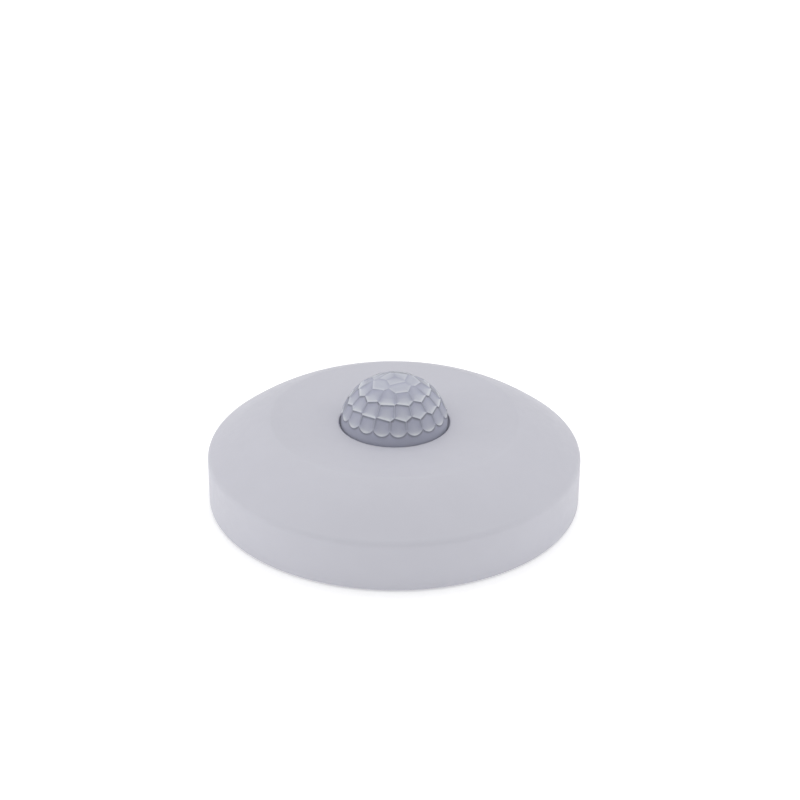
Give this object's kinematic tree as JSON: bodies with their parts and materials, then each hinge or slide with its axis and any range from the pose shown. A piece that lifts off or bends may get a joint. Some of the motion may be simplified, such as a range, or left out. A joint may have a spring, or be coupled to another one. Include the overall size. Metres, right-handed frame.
{
  "type": "motion sensor",
  "caption": "Round surface-mounted ceiling motion sensor: a low white housing with a sloping shoulder and a domed honeycomb infrared lens, on a base with circuit board and terminals.",
  "frame": {"origin": "centre of the base plate's rear face, which lies against the ceiling", "axes": "+Z out of the ceiling through the top of the lens; -Y towards the cable hole and terminals; +Y towards the notch where the cover is prised off; +X towards the adjusters"},
  "size_m": [0.115, 0.115, 0.04],
  "materials": {
    "housing": "white ABS, fine satin moulded texture",
    "lens": "milky translucent HDPE, satin, moulded honeycomb of Fresnel cells",
    "rubber": "soft dark EPDM",
    "circuit_board": "green solder mask on glass-epoxy laminate",
    "terminal_moulding": "green polyamide",
    "brass": "plain brass, tin washed",
    "steel": "bright zinc or nickel plate",
    "relay_case": "black moulded case",
    "film_capacitor_case": "yellow box filled with resin",
    "capacitor_sleeve": "dark shrunk sleeve on an aluminium can",
    "varistor_coating": "blue dipped epoxy",
    "fuse_case": "brown moulded case",
    "chip_package": "black moulding compound",
    "resistor_coating": "blue-grey lacquer",
    "adjuster_case": "blue moulded case",
    "adjuster_knob": "off-white acetal",
    "tower_moulding": "black ABS",
    "detector_filter": "coated silicon infrared filter",
    "light_cell": "clear-coated cadmium sulphide cell",
    "led_lens": "red tinted clear resin"
  },
  "bodies": {
    "base": {"base_plate": "housing", "cable_grommet": "rubber", "main_board": "circuit_board", "terminal_housing": "terminal_moulding", "relay": "relay_case", "film_capacitor": "film_capacitor_case", "smoothing_capacitor": "capacitor_sleeve", "filter_capacitor": "capacitor_sleeve", "varistor": "varistor_coating", "fuse": "fuse_case", "bridge_rectifier": "chip_package", "control_chip": "chip_package", "dropper_resistor": "resistor_coating", "voltage_regulator": "chip_package", "relay_transistor": "chip_package", "sensor_tower": "tower_moulding", "infrared_detector": "steel", "detector_window": "detector_filter", "light_sensor": "light_cell", "status_led": "led_lens", "board_screw_1": "steel", "terminal_busbar_1": "brass", "board_screw_2": "steel", "terminal_busbar_2": "brass", "board_screw_3": "steel", "terminal_busbar_3": "brass", "sensitivity_adjuster": "adjuster_case", "time_adjuster": "adjuster_case", "daylight_adjuster": "adjuster_case"},
    "cover": {"front_cover": "housing", "lens_dome": "lens", "lens_retainer": "housing", "retainer_screw_1": "steel", "retainer_screw_2": "steel", "retainer_screw_3": "steel"},
    "sensitivity_knob": {"sensitivity_knob": "adjuster_knob"},
    "time_knob": {"time_knob": "adjuster_knob"},
    "daylight_knob": {"daylight_knob": "adjuster_knob"},
    "terminal_screw_1": {"terminal_screw_1": "steel"},
    "terminal_cage_1": {"terminal_cage_1": "steel"},
    "terminal_screw_2": {"terminal_screw_2": "steel"},
    "terminal_cage_2": {"terminal_cage_2": "steel"},
    "terminal_screw_3": {"terminal_screw_3": "steel"},
    "terminal_cage_3": {"terminal_cage_3": "steel"}
  },
  "joints": [
    {"name": "cover_lift", "type": "slide", "parent": "base", "child": "cover", "axis": [0, 0, 1], "range_m": [0, 0.04]},
    {"name": "sensitivity_turn", "type": "hinge", "parent": "base", "child": "sensitivity_knob", "pos_m": [0.025, -0.012, 0.0125], "axis": [0, 0, 1], "range_deg": [-135, 135]},
    {"name": "time_turn", "type": "hinge", "parent": "base", "child": "time_knob", "pos_m": [0.025, 0.0025, 0.0125], "axis": [0, 0, 1], "range_deg": [-135, 135]},
    {"name": "daylight_turn", "type": "hinge", "parent": "base", "child": "daylight_knob", "pos_m": [0.025, 0.017, 0.0125], "axis": [0, 0, 1], "range_deg": [-135, 135]},
    {"name": "terminal_turn_1", "type": "hinge", "parent": "base", "child": "terminal_screw_1", "pos_m": [-0.0076, -0.0315, 0.016], "axis": [0, 0, 1], "range_deg": [-1080, 0]},
    {"name": "cage_rise_1", "type": "slide", "parent": "base", "child": "terminal_cage_1", "axis": [0, 0, 1], "range_m": [0, 0.0015]},
    {"name": "terminal_turn_2", "type": "hinge", "parent": "base", "child": "terminal_screw_2", "pos_m": [0, -0.0315, 0.016], "axis": [0, 0, 1], "range_deg": [-1080, 0]},
    {"name": "cage_rise_2", "type": "slide", "parent": "base", "child": "terminal_cage_2", "axis": [0, 0, 1], "range_m": [0, 0.0015]},
    {"name": "terminal_turn_3", "type": "hinge", "parent": "base", "child": "terminal_screw_3", "pos_m": [0.0076, -0.0315, 0.016], "axis": [0, 0, 1], "range_deg": [-1080, 0]},
    {"name": "cage_rise_3", "type": "slide", "parent": "base", "child": "terminal_cage_3", "axis": [0, 0, 1], "range_m": [0, 0.0015]}
  ],
  "couplings": [
    {"joint": "terminal_turn_1", "follows": "cage_rise_1", "rad_per_m": -12566},
    {"joint": "terminal_turn_2", "follows": "cage_rise_2", "rad_per_m": -12566},
    {"joint": "terminal_turn_3", "follows": "cage_rise_3", "rad_per_m": -12566}
  ]
}
